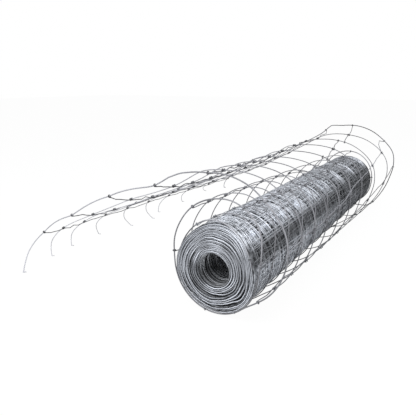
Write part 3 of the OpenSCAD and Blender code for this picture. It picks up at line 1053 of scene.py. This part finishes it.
def make_core():
    """The mass of inner turns, as dark tubes of painted shade behind the ones that show, and a lighter band
    of painted light deep in the bore.
    """
    near, far = -ROLL_HALF, ROLL_HALF
    surface = ROLL_R - CORE_DEPTH
    bore = BORE_R + 0.0042, BORE_R + 0.0075
    # Each tube's tone is painted shade behind the gaps, but BoreBacking_3 is lighter: painted light in the
    # bore
    tubes = [
        ("InnerTurns", BORE_R + 0.0045, surface, near + 0.050, far - 0.050, 0.08),
        ("OuterBacking", surface - 0.004, surface, 0, far - 0.002, 0.12),
        ("BoreBacking_1", *bore, near + 0.010, near + 0.050, 0.02),
        ("BoreBacking_2", *bore, near + 0.050, near + 0.085, 0.15),
        ("BoreBacking_3", *bore, near + 0.085, near + 0.400, 0.7),
        ("BoreBacking_4", *bore, near + 0.400, far - 0.010, 0.06),
        ("TurnBacking_1", 0.062, 0.066, near + 0.032, far - 0.032, 0.02),
        ("TurnBacking_2", 0.074, 0.078, near + 0.036, far - 0.036, 0.02),
        ("TurnBacking_3", 0.084, 0.087, near + 0.040, far - 0.036, 0.05),
    ]
    for tube in tubes:
        finish_piece(make_tube(*tube), "wound_wire", deep_zinc)


make_wound_turns()
make_wound_stays()
make_cross_wires()
make_end_turns(-1)
make_end_turns(1)
make_bore_wires()
make_core()

# ---------------------------------------------------------------- floor, light and camera

def clear_rays(tree):
    """1 on the rays that see the plain background: the camera's, in reflections and through glass."""
    path = tree.nodes.new("ShaderNodeLightPath")
    seen = add_math(tree, "MAXIMUM", path.outputs["Is Camera Ray"], path.outputs["Is Glossy Ray"])
    return add_math(tree, "MAXIMUM", seen, path.outputs["Is Transmission Ray"])


def plain_white(name, colour, share):
    """A pale matt surface that looks white to the camera and in reflections, and keeps a shadow."""
    material = bpy.data.materials.new(name)
    material.use_nodes = True
    tree = material.node_tree
    tree.nodes.clear()
    end = tree.nodes.new("ShaderNodeOutputMaterial")
    matt = tree.nodes.new("ShaderNodeBsdfDiffuse")
    matt.inputs["Color"].default_value = (*colour, 1)
    glow = tree.nodes.new("ShaderNodeEmission")
    blend = tree.nodes.new("ShaderNodeMixShader")
    tree.links.new(add_math(tree, "MULTIPLY", clear_rays(tree), share), blend.inputs["Fac"])
    tree.links.new(matt.outputs[0], blend.inputs[1])
    tree.links.new(glow.outputs[0], blend.inputs[2])
    tree.links.new(blend.outputs[0], end.inputs["Surface"])
    return material


def make_floor():
    """A wide pale floor at the height that the object rests on."""
    deselect_all()
    bpy.ops.mesh.primitive_plane_add(size=30, location=(0, 0, FLOOR_Z))
    floor = bpy.context.object
    floor.name = "Floor"
    floor.data.materials.append(plain_white("Pale floor", (0.82, 0.82, 0.82), 0.97))


def make_world():
    """An even white sky that lights the object at a plain level and is plain white where it is seen."""
    world = bpy.data.worlds.new("Plain studio")
    bpy.context.scene.world = world
    world.use_nodes = True
    tree = world.node_tree
    tree.nodes.clear()
    end = tree.nodes.new("ShaderNodeOutputWorld")
    sky = tree.nodes.new("ShaderNodeBackground")
    sky.inputs["Color"].default_value = (1, 1, 1, 1)
    sky.inputs["Strength"].default_value = 0.55
    white = tree.nodes.new("ShaderNodeBackground")
    white.inputs["Color"].default_value = (1, 1, 1, 1)
    white.inputs["Strength"].default_value = 1.0
    blend = tree.nodes.new("ShaderNodeMixShader")
    tree.links.new(clear_rays(tree), blend.inputs["Fac"])
    tree.links.new(sky.outputs[0], blend.inputs[1])
    tree.links.new(white.outputs[0], blend.inputs[2])
    tree.links.new(blend.outputs[0], end.inputs["Surface"])


def add_softbox(name, place, target, size, power):
    """A square lamp that faces the target."""
    light = bpy.data.lights.new(name, "AREA")
    light.shape = "SQUARE"
    light.size = size
    light.energy = power
    lamp = bpy.data.objects.new(name, light)
    lamp.location = place
    lamp.rotation_euler = (Vector(target) - Vector(place)).to_track_quat("-Z", "Y").to_euler()
    bpy.context.scene.collection.objects.link(lamp)


def make_camera():
    """Stands to the right of the near end and looks along the roll and down on it."""
    camera = bpy.data.cameras.new("Camera")
    camera.lens = 37.31
    camera.sensor_width = 36
    holder = bpy.data.objects.new("Camera", camera)
    holder.location = (0.479, -1.393, 0.422)
    holder.rotation_euler = (math.radians(73.90), 0, math.radians(31.67))
    bpy.context.scene.collection.objects.link(holder)
    bpy.context.scene.camera = holder


make_floor()
make_world()
add_softbox("Key light", (-0.5, -2.0, 2.5), (0, 0, 0), 1.6, 95)
add_softbox("Top light", (0.1, 0.3, 2.8), (0, 0, 0), 2.0, 35)
make_camera()
bpy.context.scene.view_settings.view_transform = "Standard"
